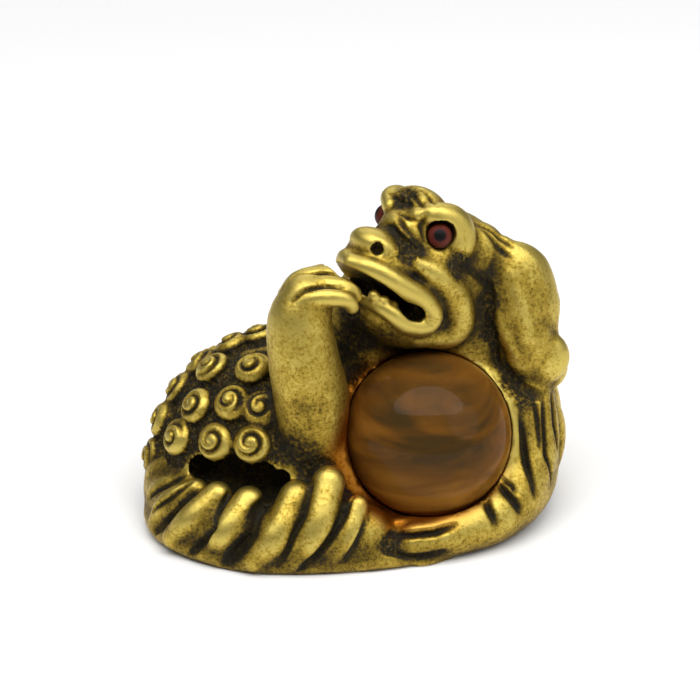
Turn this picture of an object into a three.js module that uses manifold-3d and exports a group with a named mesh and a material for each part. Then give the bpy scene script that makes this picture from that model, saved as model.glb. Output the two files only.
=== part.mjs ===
// A small cast brass pixiu, a Chinese lion-like guardian, lying curled round a polished amber ball.
// It gnaws a raised hind paw, its bushy tail sweeps round the front, and its back is covered with
// snail-shell curls. The ball sits in a round seat under the chin, and two beads are set as eyes.
// Millimetres, +Z up. The origin is the middle of the flat underside, and -Y is the front.
import * as THREE from 'three';
import { mergeVertices } from 'three/addons/utils/BufferGeometryUtils.js';
import Module from 'manifold-3d';

const wasm = await Module();
wasm.setup();

// Driving dimensions
const FIGURE_LENGTH = 52;
const BALL_DIAMETER = 20;
const BALL_CLEARANCE = 0.3;
const BALL_SEAT_FLOOR = 2;
const EYE_DIAMETER = 3;
const EYE_CLEARANCE = 0.3;

// The carving is drawn in millimetres for a figure 52 mm long, and keeps its proportions.
const CARVED_LENGTH = 52;
const share = FIGURE_LENGTH / CARVED_LENGTH;

const vector = ([x, y, z]) => new THREE.Vector3(x, y, z).multiplyScalar(share);

// Joins and cuts

function solid(geometry) {
  const bare = new THREE.BufferGeometry();
  bare.setAttribute('position', geometry.getAttribute('position'));
  bare.setIndex(geometry.getIndex());
  const merged = mergeVertices(bare, 1e-4);
  return new wasm.Manifold(new wasm.Mesh({
    numProp: 3,
    vertProperties: merged.attributes.position.array,
    triVerts: new Uint32Array(merged.index.array),
  }));
}

function geometryOf(manifold) {
  const { vertProperties, triVerts } = manifold.getMesh();
  const geometry = new THREE.BufferGeometry();
  geometry.setAttribute('position', new THREE.BufferAttribute(vertProperties, 3));
  geometry.setIndex(new THREE.BufferAttribute(triVerts, 1));
  geometry.computeVertexNormals();
  return geometry;
}

const joined = (pieces) => pieces.reduce((whole, piece) => whole.add(piece));

// A sphere has fewer bands from pole to pole than it has sides.
const BANDS_PER_SIDE = 0.6;

// A rounded mass: an ellipsoid with its own axes
function mass(centre, radii, { across = 12, basis = null } = {}) {
  const geometry = new THREE.SphereGeometry(1, across, Math.round(across * BANDS_PER_SIDE));
  geometry.rotateX(Math.PI / 2);
  geometry.scale(...radii.map((r) => r * share));
  if (basis) geometry.applyMatrix4(basis);
  const at = vector(centre);
  geometry.translate(at.x, at.y, at.z);
  return solid(geometry);
}

// A tapering roll with round ends along a smooth line through [x, y, z, half width, half thickness].
// With facing, the thickness points that way. Without it the roll is round.
function roll(points, { sides = 7, steps = 3, facing = null } = {}) {
  const spine = new THREE.CatmullRomCurve3(points.map(vector), false, 'catmullrom');
  const girth = new THREE.CatmullRomCurve3(
    points.map(([, , , w, t = w]) => vector([w, t, 0])), false, 'catmullrom');
  const count = steps * (points.length - 1);
  const rings = [];
  let side = null;
  for (let i = 0; i <= count; i++) {
    const centre = spine.getPoint(i / count);
    const ahead = spine.getTangent(i / count);
    const size = girth.getPoint(i / count);
    if (facing) side = new THREE.Vector3().crossVectors(ahead, new THREE.Vector3(...facing));
    else if (!side) side = new THREE.Vector3().crossVectors(ahead, leastAlong(ahead));
    side = side.clone().addScaledVector(ahead, -side.dot(ahead)).normalize();
    rings.push({ centre, ahead, side, over: new THREE.Vector3().crossVectors(side, ahead), size });
  }
  const positions = [];
  const addRing = ({ centre, ahead, side, over, size }, slide, girthShare) => {
    const reach = Math.min(size.x, size.y) * slide;
    for (let j = 0; j < sides; j++) {
      const turn = (2 * Math.PI * j) / sides;
      const p = centre.clone().addScaledVector(ahead, reach)
        .addScaledVector(side, size.x * girthShare * Math.cos(turn))
        .addScaledVector(over, size.y * girthShare * Math.sin(turn));
      positions.push(p.x, p.y, p.z);
    }
  };
  addRing(rings[0], -END_RING, END_RING);
  rings.forEach((ring) => addRing(ring, 0, 1));
  addRing(rings[count], END_RING, END_RING);
  for (const [ring, slide] of [[rings[0], -1], [rings[count], 1]]) {
    const tip = ring.centre.clone().addScaledVector(ring.ahead, Math.min(ring.size.x, ring.size.y) * slide);
    positions.push(tip.x, tip.y, tip.z);
  }
  const ringCount = count + 3;
  const first = ringCount * sides;
  const index = [];
  for (let j = 0; j < sides; j++) {
    const k = (j + 1) % sides;
    for (let i = 0; i < ringCount - 1; i++) {
      const [a, b, c, d] = [i * sides + j, i * sides + k, (i + 1) * sides + k, (i + 1) * sides + j];
      index.push(a, c, b, a, d, c);
    }
    index.push(first, j, k, first + 1, first - sides + k, first - sides + j);
  }
  const geometry = new THREE.BufferGeometry();
  geometry.setAttribute('position', new THREE.Float32BufferAttribute(positions, 3));
  geometry.setIndex(index);
  return solid(geometry);
}

const END_RING = Math.SQRT1_2;

function leastAlong(v) {
  const axes = [[1, 0, 0], [0, 1, 0], [0, 0, 1]].map((a) => new THREE.Vector3(...a));
  return axes.sort((a, b) => Math.abs(a.dot(v)) - Math.abs(b.dot(v)))[0];
}

// Head frame: forward along the muzzle, side towards the animal's left, up through the crown.
// Its origin lies midway between the eyes. The head turns to the front left and looks up.
const BETWEEN_EYES = [6.6, 0, 37];
const HEAD_TURN = THREE.MathUtils.degToRad(46);
const HEAD_PITCH = THREE.MathUtils.degToRad(40);
const forward = new THREE.Vector3(
  -Math.sin(HEAD_TURN) * Math.cos(HEAD_PITCH),
  -Math.cos(HEAD_TURN) * Math.cos(HEAD_PITCH),
  Math.sin(HEAD_PITCH));
const sideways = new THREE.Vector3(Math.cos(HEAD_TURN), -Math.sin(HEAD_TURN), 0);
const upward = new THREE.Vector3().crossVectors(forward, sideways);
const headBasis = new THREE.Matrix4().makeBasis(forward, sideways, upward);

function onHead([f, s, u, ...rest]) {
  const p = new THREE.Vector3(...BETWEEN_EYES).addScaledVector(forward, f)
    .addScaledVector(sideways, s).addScaledVector(upward, u);
  return [p.x, p.y, p.z, ...rest];
}

// The far side of the face is a little narrower and set back
const FAR_SIDE = { setBack: 0.1, width: 0.85 };
const mirrored = ([f, s, u, ...rest]) => [f - FAR_SIDE.setBack * s, -FAR_SIDE.width * s, u, ...rest];
const bothSides = (make) => [make(onHead, 2), make((p) => onHead(mirrored(p)), 1)];
const headMass = (centre, radii, across) => mass(onHead(centre), radii, { across, basis: headBasis });

// The trunk: curled rump, shoulders and neck over a rounded foot
const RUMP = { centre: [-7, 1, 4], radii: [17, 14.5, 17] };
const SHOULDER = { centre: [13.6, 3.6, 8], radii: [11.6, 12.6, 13.5] };
const HIP = { centre: [12.4, 4.4, 2], radii: [13.2, 12.6, 6] };
const HAUNCH = { centre: [-9, 11, 6], radii: [8.5, 5.8, 7.4] };
const FLANK = { centre: [2.4, 8.6, 3.4], radii: [13, 8.6, 9] };
const FOOT = { centre: [0, -0.4, 1.4], radii: [26, 17.4, 4.6], turn: 20 };
const NECK_ROLL = [[11.5, 5.5, 12, 10], [13, 5.5, 21, 8.4], [12.5, 4.5, 28, 7.4]];
const THROAT_ROLL = [[2, 3, 13, 7], [2, 3.4, 22, 5.8], [5.5, 4, 28, 5.4]];
const SHOULDER_FRONT = [[21, 0, 16, 3.4], [21.4, -2.4, 9, 4], [19.4, -6.4, 4.6, 4]];
const BACK_PAW = [[-6, 15, 1.8, 2.2], [-1, 16.2, 1.6, 2], [3.4, 16.4, 1.4, 1.8]];

function onMass({ centre, radii }, longitude, latitude, proud = 0) {
  const [lon, lat] = [longitude, latitude].map(THREE.MathUtils.degToRad);
  const round = [Math.cos(lat) * Math.cos(lon), Math.cos(lat) * Math.sin(lon), Math.sin(lat)];
  return round.map((c, i) => centre[i] + c * (radii[i] + proud));
}

function trunk() {
  const footBasis = new THREE.Matrix4().makeRotationZ(THREE.MathUtils.degToRad(FOOT.turn));
  return [
    mass(RUMP.centre, RUMP.radii, { across: 14 }),
    mass(FOOT.centre, FOOT.radii, { across: 16, basis: footBasis }),
    mass(HIP.centre, HIP.radii),
    mass(SHOULDER.centre, SHOULDER.radii),
    mass(HAUNCH.centre, HAUNCH.radii, { across: 10 }),
    mass(FLANK.centre, FLANK.radii, { across: 10 }),
    roll(NECK_ROLL, { sides: 10, steps: 1 }),
    roll(THROAT_ROLL, { sides: 9, steps: 1 }),
    roll(SHOULDER_FRONT, { sides: 8, steps: 1 }),
    roll(BACK_PAW, { sides: 6, steps: 1 }),
  ];
}

// Snail-shell curls in staggered rows over the rump, each a spiral that climbs to its middle
const CURLS_IN_FRONT = [
  [-173, 9], [-178, 24], [175, 37], [163, 48], [153, 62], [135, 71], [-151, 26], [-150, 41],
  [-170, 56], [-130, 66], [-127, 31], [-127, 48], [-107, 48], [-108, 33],
];
const CURL_RADIUS = 2.5;
const CURL_EYE = 0.7;
const CURL_HEIGHT = 1.5;
const CURL_ROOT = 0.8;
const CURL_TAPER = 0.85;
const CURL_STEPS = 6;
const CURL_START = 2.2;
const CURL_PITCH = 5.4;
const CURL_ROWS_BEHIND = [[26, 150], [43, 143], [60, 118]];
const LAST_CURL_LONGITUDE = 58;

function curlPlaces() {
  const places = CURLS_IN_FRONT.slice();
  for (const [latitude, start] of CURL_ROWS_BEHIND) {
    const ringRadius = RUMP.radii[1] * Math.cos(THREE.MathUtils.degToRad(latitude));
    const step = THREE.MathUtils.radToDeg(CURL_PITCH / ringRadius);
    for (let longitude = start; longitude > LAST_CURL_LONGITUDE; longitude -= step) {
      places.push([longitude, latitude]);
    }
  }
  return places;
}

// The outline of one turn of the spiral, with its start and end on the same ray
function turnOutline(outer, inner) {
  const points = [];
  for (let i = 0; i <= CURL_STEPS; i++) {
    const reach = share * (outer + (inner - outer) * (i / CURL_STEPS));
    const angle = (2 * Math.PI * i) / CURL_STEPS;
    points.push(new THREE.Vector2(reach * Math.cos(angle), reach * Math.sin(angle)));
  }
  return new THREE.Shape(points);
}

function turnSolid(outer, inner, from, to, placing) {
  const geometry = new THREE.ExtrudeGeometry(turnOutline(outer, inner), {
    depth: share * (to - from), bevelEnabled: false,
  });
  const position = geometry.getAttribute('position');
  for (let i = 0; i < position.count; i++) {
    const taper = position.getZ(i) > 0 ? CURL_TAPER : 1;
    position.setXYZ(i, taper * position.getX(i), taper * position.getY(i), position.getZ(i) + share * from);
  }
  return solid(geometry.applyMatrix4(placing));
}

function curl([longitude, latitude], number) {
  const at = vector(onMass(RUMP, longitude, latitude));
  const out = vector(onMass(RUMP, longitude, latitude, 1)).sub(at).normalize();
  const east = new THREE.Vector3(0, 0, 1).cross(out).normalize();
  const north = out.clone().cross(east);
  const placing = new THREE.Matrix4().makeBasis(east, north, out).setPosition(at)
    .multiply(new THREE.Matrix4().makeRotationZ(number * CURL_START));
  const middle = (CURL_RADIUS + CURL_EYE) / 2;
  return turnSolid(CURL_RADIUS, middle, -CURL_ROOT, CURL_HEIGHT / 2, placing)
    .add(turnSolid(middle * CURL_TAPER, CURL_EYE, CURL_HEIGHT / 4, CURL_HEIGHT, placing));
}

// Masses of the head: those on its middle, then those repeated on each side
const SKULL = [
  { centre: [-7, 0, -2], radii: [8.4, 6.8, 7], across: 10 },
  { centre: [-8.5, 1.5, 0.8], radii: [6.5, 5.6, 4.4], across: 9 },
  { centre: [-3, 0, -0.2], radii: [4.6, 5.4, 4], across: 8 },
  { centre: [-0.2, 0.8, -1.2], radii: [3.6, 3.7, 3.2], across: 8 },
  { centre: [-0.4, 0.3, 2.2], radii: [3, 3.6, 2.8], across: 8 },
  { centre: [0.2, 0, -5.4], radii: [5, 4.9, 3.2], across: 9 },
  { centre: [3.2, 0, -4.3], radii: [3.1, 3, 2.2], across: 9 },
  { centre: [-5, 0, -11.2], radii: [5.6, 5.4, 2.2], across: 8 },
  { centre: [-7.4, 0, -7], radii: [5, 6.8, 5.6], across: 8 },
];
const SIDE_MASSES = [
  { centre: [2.2, 2.4, -4.2], radii: [1.4, 1.4, 1.5], across: 7 },
  { centre: [-4.6, 4.2, -2.8], radii: [4.6, 3, 3], across: 8 },
  { centre: [-7.8, 4.6, -3.4], radii: [4.6, 3.2, 4.4], across: 8 },
];
const LIP = [
  [5.2, 0, -7.6, 1.2], [4.2, 2.4, -7.2, 1.3], [1, 4.9, -7.3, 1.35], [-3, 6.1, -7.6, 1.35],
  [-5, 6.1, -9, 1.25], [-3.2, 5.3, -10.6, 1.2], [0, 3.7, -10.4, 1.1], [1.2, 0, -9.9, 1.1],
];
const CHEEK = [
  [0.6, 4.4, -4.1, 1], [-2.6, 5.6, -4.1, 1.8], [-7, 6.2, -5.4, 2.2], [-9.6, 5.8, -8, 2.1],
  [-6.4, 4.4, -10.9, 1.5],
];
const BROW = [
  [1.6, 2.6, 1, 1.1], [0.4, 4.2, 2.1, 1.6], [-2, 5, 2.2, 2.1], [-3.6, 5.5, 0.6, 2.1],
  [-3.8, 5.7, -1.8, 1.5],
];

function head() {
  return [
    ...SKULL.map(({ centre, radii, across }) => headMass(centre, radii, across)),
    ...SIDE_MASSES.flatMap(({ centre, radii, across }) =>
      bothSides((at) => mass(at(centre), radii, { across, basis: headBasis }))),
    ...[LIP, CHEEK, BROW].flatMap((line) =>
      bothSides((at, steps) => roll(line.map((p) => at(p)), { sides: 5, steps }))),
  ];
}

const EYE = [-0.7, 4.9, 0.1];

function bead(centre, diameter, across) {
  const bands = Math.round(across * BANDS_PER_SIDE);
  const geometry = new THREE.SphereGeometry(diameter / 2, across, bands);
  geometry.rotateX(Math.PI / 2);
  return geometry.translate(...centre);
}
const eyeCentre = (at) => vector(at(EYE)).toArray();

// The open mouth, nostrils and eye sockets
const MOUTH = { centre: [0.6, 0, -8.9], radii: [6.4, 5.6, 1], across: 10 };
const NOSTRIL = { centre: [4.6, 1.9, -4.8], radii: [0.9, 0.9, 0.9], across: 6 };
const SOCKET_SIDES = 8;

function headHollows() {
  const socket = EYE_DIAMETER + 2 * EYE_CLEARANCE;
  return [
    headMass(MOUTH.centre, MOUTH.radii, MOUTH.across),
    ...bothSides((at) => mass(at(NOSTRIL.centre), NOSTRIL.radii, { across: NOSTRIL.across })),
    ...bothSides((at) => solid(bead(eyeCentre(at), socket, SOCKET_SIDES))),
  ];
}

// Floppy ears: a thick flap with a heavy lobe. The near one has a rounded front edge.
const NEAR_EAR = [
  [17.2, 1.6, 32.4, 2.4, 1.5], [20, 0.6, 30, 3.6, 1.8], [21.2, -0.6, 26, 4, 1.8],
  [21.8, -0.8, 22.4, 3.4, 1.9], [23, -0.4, 19.4, 3.1, 2.4], [24, 0, 18, 2.6, 2.4],
];
const NEAR_EAR_FACE = [0.5, -0.85, 0.15];
const NEAR_EAR_EDGE = [
  [16.6, 0.2, 31.4, 1.3], [17.8, -1, 28, 1.4], [18.6, -1.8, 24.5, 1.5], [20, -2, 21.4, 1.5],
];
const LOBE = { centre: [22.8, -1.1, 19.8], radii: [3.5, 2.3, 3] };
const FAR_EAR = [
  [5.6, 7.8, 32.4, 2.4, 1.6], [7.6, 9.6, 30, 3.8, 2], [7.8, 11.6, 26, 3.9, 2.4],
  [7.6, 13, 21.4, 3, 2.6], [7.6, 13.8, 18, 2.6, 2.6],
];
const FAR_EAR_FACE = [-0.5, 0.85, 0.2];

function ears() {
  return [
    roll(NEAR_EAR, { sides: 8, steps: 2, facing: NEAR_EAR_FACE }),
    roll(NEAR_EAR_EDGE, { sides: 5, steps: 1 }),
    mass(LOBE.centre, LOBE.radii, { across: 8 }),
    roll(FAR_EAR, { sides: 8, steps: 1, facing: FAR_EAR_FACE }),
  ];
}

// Mane: wavy strands that fall from the nape over the shoulder and down the back
const MANE = { first: -30, last: 150, step: 20, wave: 4, radius: 1.3, latitudes: [30, 0, -28] };
const NAPE = { centre: [12.5, 4.6, 29], reach: 6.6 };
const NECK = { centre: [13, 5.5, 20.5], reach: 8.2 };

function roundNeck({ centre, reach }, bearing) {
  const angle = THREE.MathUtils.degToRad(bearing);
  return [centre[0] + reach * Math.cos(angle), centre[1] + reach * Math.sin(angle), centre[2]];
}

const wave = (place) => (place % 2 ? MANE.wave : -MANE.wave);

function mane() {
  const strands = [];
  for (let bearing = MANE.first; bearing <= MANE.last; bearing += MANE.step) {
    const places = [NAPE, NECK].map((ring, i) => roundNeck(ring, bearing + wave(i)));
    MANE.latitudes.forEach((latitude, i) => places.push(onMass(SHOULDER, bearing + wave(i), latitude)));
    strands.push(roll(places.map((place) => [...place, MANE.radius]), { sides: 4, steps: 1 }));
  }
  return strands;
}

// The raised hind leg, its paw against the lips
const SHANK = [
  [-4.8, -6.5, 4, 4], [-4.8, -8.2, 13.4, 4.4], [-4.6, -8.8, 18.6, 4.6], [-5.4, -9, 23.6, 4.3],
  [-5.8, -8.5, 28.4, 3.9], [-4.8, -8, 31, 3],
];
const RAISED_TOES = [
  [[-8, -6.5, 31, 1.2], [-6, -6.5, 32.6, 1.2], [-2.9, -6.4, 33, 1.2], [0.3, -6.2, 32.3, 1]],
  [
    [-7.8, -8.2, 30.6, 1.2], [-5.5, -8.3, 32.2, 1.2], [-2.5, -8.3, 32.6, 1.2], [0.2, -8, 31.9, 1],
    [0.7, -7.8, 31, 0.8],
  ],
  [
    [-7.3, -9.7, 29.8, 1.2], [-5, -10, 31.4, 1.2], [-2.3, -9.9, 31.8, 1.2], [-0.2, -9.6, 31.2, 1],
    [0.3, -9.3, 30.2, 0.8],
  ],
  [[-6.6, -5, 31, 1.1], [-3.6, -4.8, 32.6, 1.1], [0, -4.6, 32.4, 1], [1.4, -4.6, 31.4, 0.9]],
];

function raisedLeg() {
  return [
    roll(SHANK, { sides: 9, steps: 1 }),
    ...RAISED_TOES.map((toe) => roll(toe, { sides: 5, steps: 1 })),
  ];
}

// The foreleg that reaches round the ball, with its toes to the left
const LIMB = [
  [21.5, 4, 6, 4.4], [20.6, -3.6, 4.4, 4.2], [17.2, -9, 3.4, 3.8], [12.6, -12.4, 2.8, 3.1],
  [8, -14.4, 2.6, 2.6],
];
const FORE_TOE = { root: 11.4, end: 5.6, taper: 0.8 };
const FORE_TOES = [{ z: 4, y: -13.4, r: 1.3 }, { z: 2.4, y: -14.8, r: 1.3 }, { z: 0.8, y: -15.4, r: 1.2 }];

function foreleg() {
  const { root, end, taper } = FORE_TOE;
  return [
    roll(LIMB, { sides: 9, steps: 1 }),
    ...FORE_TOES.map(({ z, y, r }) => roll(
      [[root, y + r, z, r], [(root + end) / 2, y, z, r], [end, y, z, r * taper]], { sides: 6, steps: 2 })),
  ];
}

// The tail: one thick roll with thumb-like locks laid over it, and a rounded rim all along the foot
const BRUSH = [
  [-18.8, 7, 4, 4.4], [-21.2, -1, 3.6, 4], [-19.2, -8.6, 3.4, 4], [-13.8, -13.2, 3.4, 4],
  [-8, -15, 3.6, 4], [-2.5, -15, 4, 4], [1.6, -14, 3.4, 3.4],
];
const RIM = { height: 1.1, radius: 1.3 };
const RIM_PLACES = [
  [-22.8, -3], [-21.2, -9.8], [-17, -14.9], [-12.5, -17.1], [-7, -17.7], [-1, -17.3], [6, -16],
  [12, -13.4], [17.5, -9.4], [22, -3],
];
const LOCKS = [
  [[-23.7, -2.8, 3.2, 1.4], [-22.9, -3.4, 6, 1.6], [-20, -5, 7.8, 1.6]],
  [[-23.8, -5.8, 2.4, 1], [-22.8, -6.6, 5.2, 1.2], [-19.4, -8, 7, 1.1]],
  [[-22.9, -9, 2, 1.3], [-21.6, -9.6, 4.8, 1.5], [-18.2, -10.2, 7, 1.4]],
  [[-20.8, -12.8, 2, 1.5], [-18.6, -13.4, 4.8, 1.8], [-15.6, -12, 7.2, 1.7]],
  [[-16.9, -15.8, 1.8, 1.7], [-14.6, -16.1, 4.4, 2], [-11.9, -13.6, 7.2, 1.9]],
  [[-11.1, -17.2, 1.8, 1.9], [-8.6, -17.2, 4.6, 2.2], [-6.3, -14.2, 8, 2.1]],
  [[-6.2, -17.4, 1.8, 1.8], [-4, -17.2, 5.4, 2.1], [-2.5, -13.8, 9.9, 2]],
  [[-2.6, -17.4, 1.8, 1.4], [-0.4, -17.2, 4.4, 1.5], [0.9, -15.2, 7.6, 1.3]],
];

function tail() {
  return [
    roll(RIM_PLACES.map(([x, y]) => [x, y, RIM.height, RIM.radius]), { sides: 6, steps: 1 }),
    ...LOCKS.map((lock) => roll(lock, { sides: 5, steps: 2 })),
  ];
}

// The deep hollow between the tail and the rump
const TAIL_TRENCH = [
  [-18.8, -5.6, 8.6, 1.6], [-15.8, -8.4, 8.8, 3.1], [-10.8, -10.2, 8.6, 4], [-6.2, -10.8, 8.6, 3.4],
];

// The round seat of the ball, under the chin
const BALL_PLACE = [9.3, -5.4];
const SEAT_SIDES = 20;
const ballCentre = [...BALL_PLACE.map((at) => at * share), BALL_SEAT_FLOOR + BALL_DIAMETER / 2];

function figure() {
  const brush = roll(BRUSH, { sides: 8, steps: 1 });
  const body = joined([...trunk(), ...head(), ...raisedLeg(), ...foreleg(), brush]);
  const carved = joined([...curlPlaces().map(curl), ...ears(), ...mane(), ...tail()]);
  const below = new THREE.BoxGeometry(4 * FIGURE_LENGTH, 4 * FIGURE_LENGTH, FIGURE_LENGTH);
  below.translate(0, 0, -FIGURE_LENGTH / 2);
  const seat = bead(ballCentre, BALL_DIAMETER + 2 * BALL_CLEARANCE, SEAT_SIDES);
  return body.subtract(roll(TAIL_TRENCH, { sides: 8, steps: 2 })).add(carved)
    .subtract(joined(headHollows())).subtract(solid(below)).subtract(solid(seat));
}

const BALL_SIDES = 24;
const EYE_SIDES = 12;

const brass = new THREE.MeshStandardMaterial({ color: 0xb8923a, metalness: 1, roughness: 0.38 });
const eyeGlass = new THREE.MeshStandardMaterial({ color: 0x7a3a30, roughness: 0.25 });
const amber = new THREE.MeshPhysicalMaterial({ color: 0x8a5a22, roughness: 0.05, transmission: 0.8 });

function named(name, geometry, material) {
  const mesh = new THREE.Mesh(geometry, material);
  mesh.name = name;
  return mesh;
}

const pixiu = new THREE.Group();
pixiu.add(named('figure', geometryOf(figure()), brass));
pixiu.add(named('ball', bead(ballCentre, BALL_DIAMETER, BALL_SIDES), amber));
const [leftEye, rightEye] = bothSides((at) => bead(eyeCentre(at), EYE_DIAMETER, EYE_SIDES));
pixiu.add(named('eye_left', leftEye, eyeGlass), named('eye_right', rightEye, eyeGlass));

export default pixiu;
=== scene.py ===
import math

import bpy
import numpy as np
from mathutils import Matrix, Vector, noise
from mathutils.bvhtree import BVHTree


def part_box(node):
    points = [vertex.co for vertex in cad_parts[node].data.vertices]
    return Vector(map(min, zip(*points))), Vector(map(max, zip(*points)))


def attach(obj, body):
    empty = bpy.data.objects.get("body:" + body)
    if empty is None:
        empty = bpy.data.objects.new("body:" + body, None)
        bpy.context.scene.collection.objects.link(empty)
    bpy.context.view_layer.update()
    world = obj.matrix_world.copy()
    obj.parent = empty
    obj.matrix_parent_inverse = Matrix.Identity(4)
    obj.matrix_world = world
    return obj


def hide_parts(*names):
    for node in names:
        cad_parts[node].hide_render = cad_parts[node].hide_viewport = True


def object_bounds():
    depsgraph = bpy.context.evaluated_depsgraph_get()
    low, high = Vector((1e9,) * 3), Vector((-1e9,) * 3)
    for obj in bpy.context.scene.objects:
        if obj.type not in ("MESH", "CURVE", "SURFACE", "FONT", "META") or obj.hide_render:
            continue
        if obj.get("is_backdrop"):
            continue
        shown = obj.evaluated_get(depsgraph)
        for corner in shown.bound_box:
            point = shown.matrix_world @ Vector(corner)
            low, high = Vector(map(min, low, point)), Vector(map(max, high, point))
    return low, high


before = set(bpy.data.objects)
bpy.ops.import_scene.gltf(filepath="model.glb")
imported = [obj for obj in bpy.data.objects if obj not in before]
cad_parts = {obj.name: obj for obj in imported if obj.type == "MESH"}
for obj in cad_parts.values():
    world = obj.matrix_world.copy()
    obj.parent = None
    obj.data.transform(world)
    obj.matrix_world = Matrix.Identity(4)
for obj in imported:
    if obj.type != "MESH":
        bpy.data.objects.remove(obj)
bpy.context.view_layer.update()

# Camera: a small object seen from the front and a little above, from arm's length with a long
# lens, so that its upright sides stay nearly upright.
MM = 0.001
CAMERA_ELEVATION = math.radians(25)
CAMERA_DISTANCE = 349.3 * MM
LOOKED_AT = Vector((0, 0, 20.5)) * MM

bpy.ops.object.camera_add(
    location=LOOKED_AT
    + CAMERA_DISTANCE * Vector((0, -math.cos(CAMERA_ELEVATION), math.sin(CAMERA_ELEVATION))),
    rotation=(math.pi / 2 - CAMERA_ELEVATION, 0, 0),
)
camera = bpy.context.object
camera.data.lens = 150
camera.data.sensor_width = 36
camera.data.clip_start = 0.01
bpy.context.scene.camera = camera


# Body: the beast is carved in wax and cast in brass as one solid lump. Its big soft masses come
# first: the curled rump, the shoulders, neck and throat, over a rounded foot.
def alone(*pieces):
    bpy.ops.object.select_all(action="DESELECT")
    for piece in pieces:
        piece.select_set(True)
    bpy.context.view_layer.objects.active = pieces[0]


def lump(centre, radii, basis=Matrix.Identity(3)):
    """A rounded mass with its own axes, in millimetres"""
    bpy.ops.object.select_all(action="DESELECT")
    bpy.ops.mesh.primitive_uv_sphere_add(
        segments=40, ring_count=20, radius=MM, location=Vector(centre) * MM, rotation=basis.to_euler(), scale=radii
    )
    bpy.ops.object.transform_apply(location=True, rotation=True, scale=True)
    return bpy.context.object


def joined(pieces):
    alone(*pieces)
    bpy.ops.object.join()
    return bpy.context.object


def roll(points, flat=None):
    """A limb or lock that tapers along a smooth line through [x, y, z, radius], with round ends.
    flat is the direction it is pressed thin along, and by how much."""
    bpy.ops.object.select_all(action="DESELECT")
    bpy.ops.curve.primitive_bezier_curve_add(location=(0, 0, 0))
    line = bpy.context.object
    line.data.dimensions = "3D"
    line.data.bevel_depth = MM
    line.data.bevel_resolution = 5
    line.data.resolution_u = 8
    line.data.use_fill_caps = True
    knots = line.data.splines[0].bezier_points
    knots.add(len(points) - 2)
    for knot, (x, y, z, radius) in zip(knots, points):
        knot.co = Vector((x, y, z)) * MM
        knot.radius = radius
    for knot in knots:
        knot.handle_left_type = knot.handle_right_type = "AUTO"
    bpy.ops.object.convert(target="MESH")
    tube = bpy.context.object
    ends = [lump(end[:3], [end[3]] * 3) for end in (points[0], points[-1])]
    whole = joined([tube, *ends])
    if flat:
        direction, thin = Vector(flat[0]).normalized(), flat[1]
        middle = sum((Vector(p[:3]) for p in points), Vector()) / len(points) * MM
        squash = Matrix.Scale(thin, 4, direction)
        whole.data.transform(Matrix.Translation(middle) @ squash @ Matrix.Translation(-middle))
    return whole


RUMP = ((-7, 1, 4), (17, 14.5, 17))
SHOULDER = ((13.6, 3.6, 8), (11.6, 12.6, 13.5))
FOOT = ((0, -0.4, 1.4), (26, 17.4, 4.6))
FOOT_TURN = Matrix.Rotation(math.radians(20), 3, "Z")

masses = [
    lump(*RUMP),
    lump(*SHOULDER),
    lump(*FOOT, FOOT_TURN),
    lump((12.4, 4.4, 2), (13.2, 12.6, 6)),
    lump((-9, 11, 6), (8.5, 5.8, 7.4)),
    lump((2.4, 8.6, 3.4), (13, 8.6, 9)),
    roll([(11.5, 5.5, 12, 10), (13, 5.5, 21, 8.4), (12.5, 4.5, 28, 7.4)]),
    roll([(2, 3, 13, 7), (2, 3.4, 22, 5.8), (5.5, 4, 28, 5.4)]),
]
forms = [roll([(-6, 15, 1.8, 2.2), (-1, 16.2, 1.6, 2), (3.4, 16.4, 1.4, 1.8)])]
SHOULDER_FRONT = [(21, 0, 16, 3.4), (21.4, -2.4, 9, 4), (19.4, -6.4, 4.6, 4)]
BESIDE_BALL = [(18.4, 0, 17, 2.6), (19, -2.6, 11.5, 2.6), (17.8, -6, 6.4, 2.6)]
masses += [roll(SHOULDER_FRONT), roll(BESIDE_BALL)]

# Head: turned to the front left and looking up, with a broad flat nose, bulging brows, thick
# lips round an open mouth, and heavy cheeks.
HEAD_TURN = math.radians(46)
HEAD_PITCH = math.radians(40)
BETWEEN_EYES = Vector((6.6, 0, 37))
forward = Vector((
    -math.sin(HEAD_TURN) * math.cos(HEAD_PITCH),
    -math.cos(HEAD_TURN) * math.cos(HEAD_PITCH),
    math.sin(HEAD_PITCH),
))
sideways = Vector((math.cos(HEAD_TURN), -math.sin(HEAD_TURN), 0))
upward = forward.cross(sideways)
HEAD = Matrix((forward, sideways, upward)).transposed()


def near(point):
    """From the head's own forward, sideways and up to the place on the figure"""
    f, s, u, *rest = point
    return (*(BETWEEN_EYES + HEAD @ Vector((f, s, u))), *rest)


def far(point):
    f, s, u, *rest = point
    return near((f - 0.1 * s, -0.85 * s, u, *rest))


def head_lump(centre, radii, side=near):
    return lump(side(centre), radii, HEAD)


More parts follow.
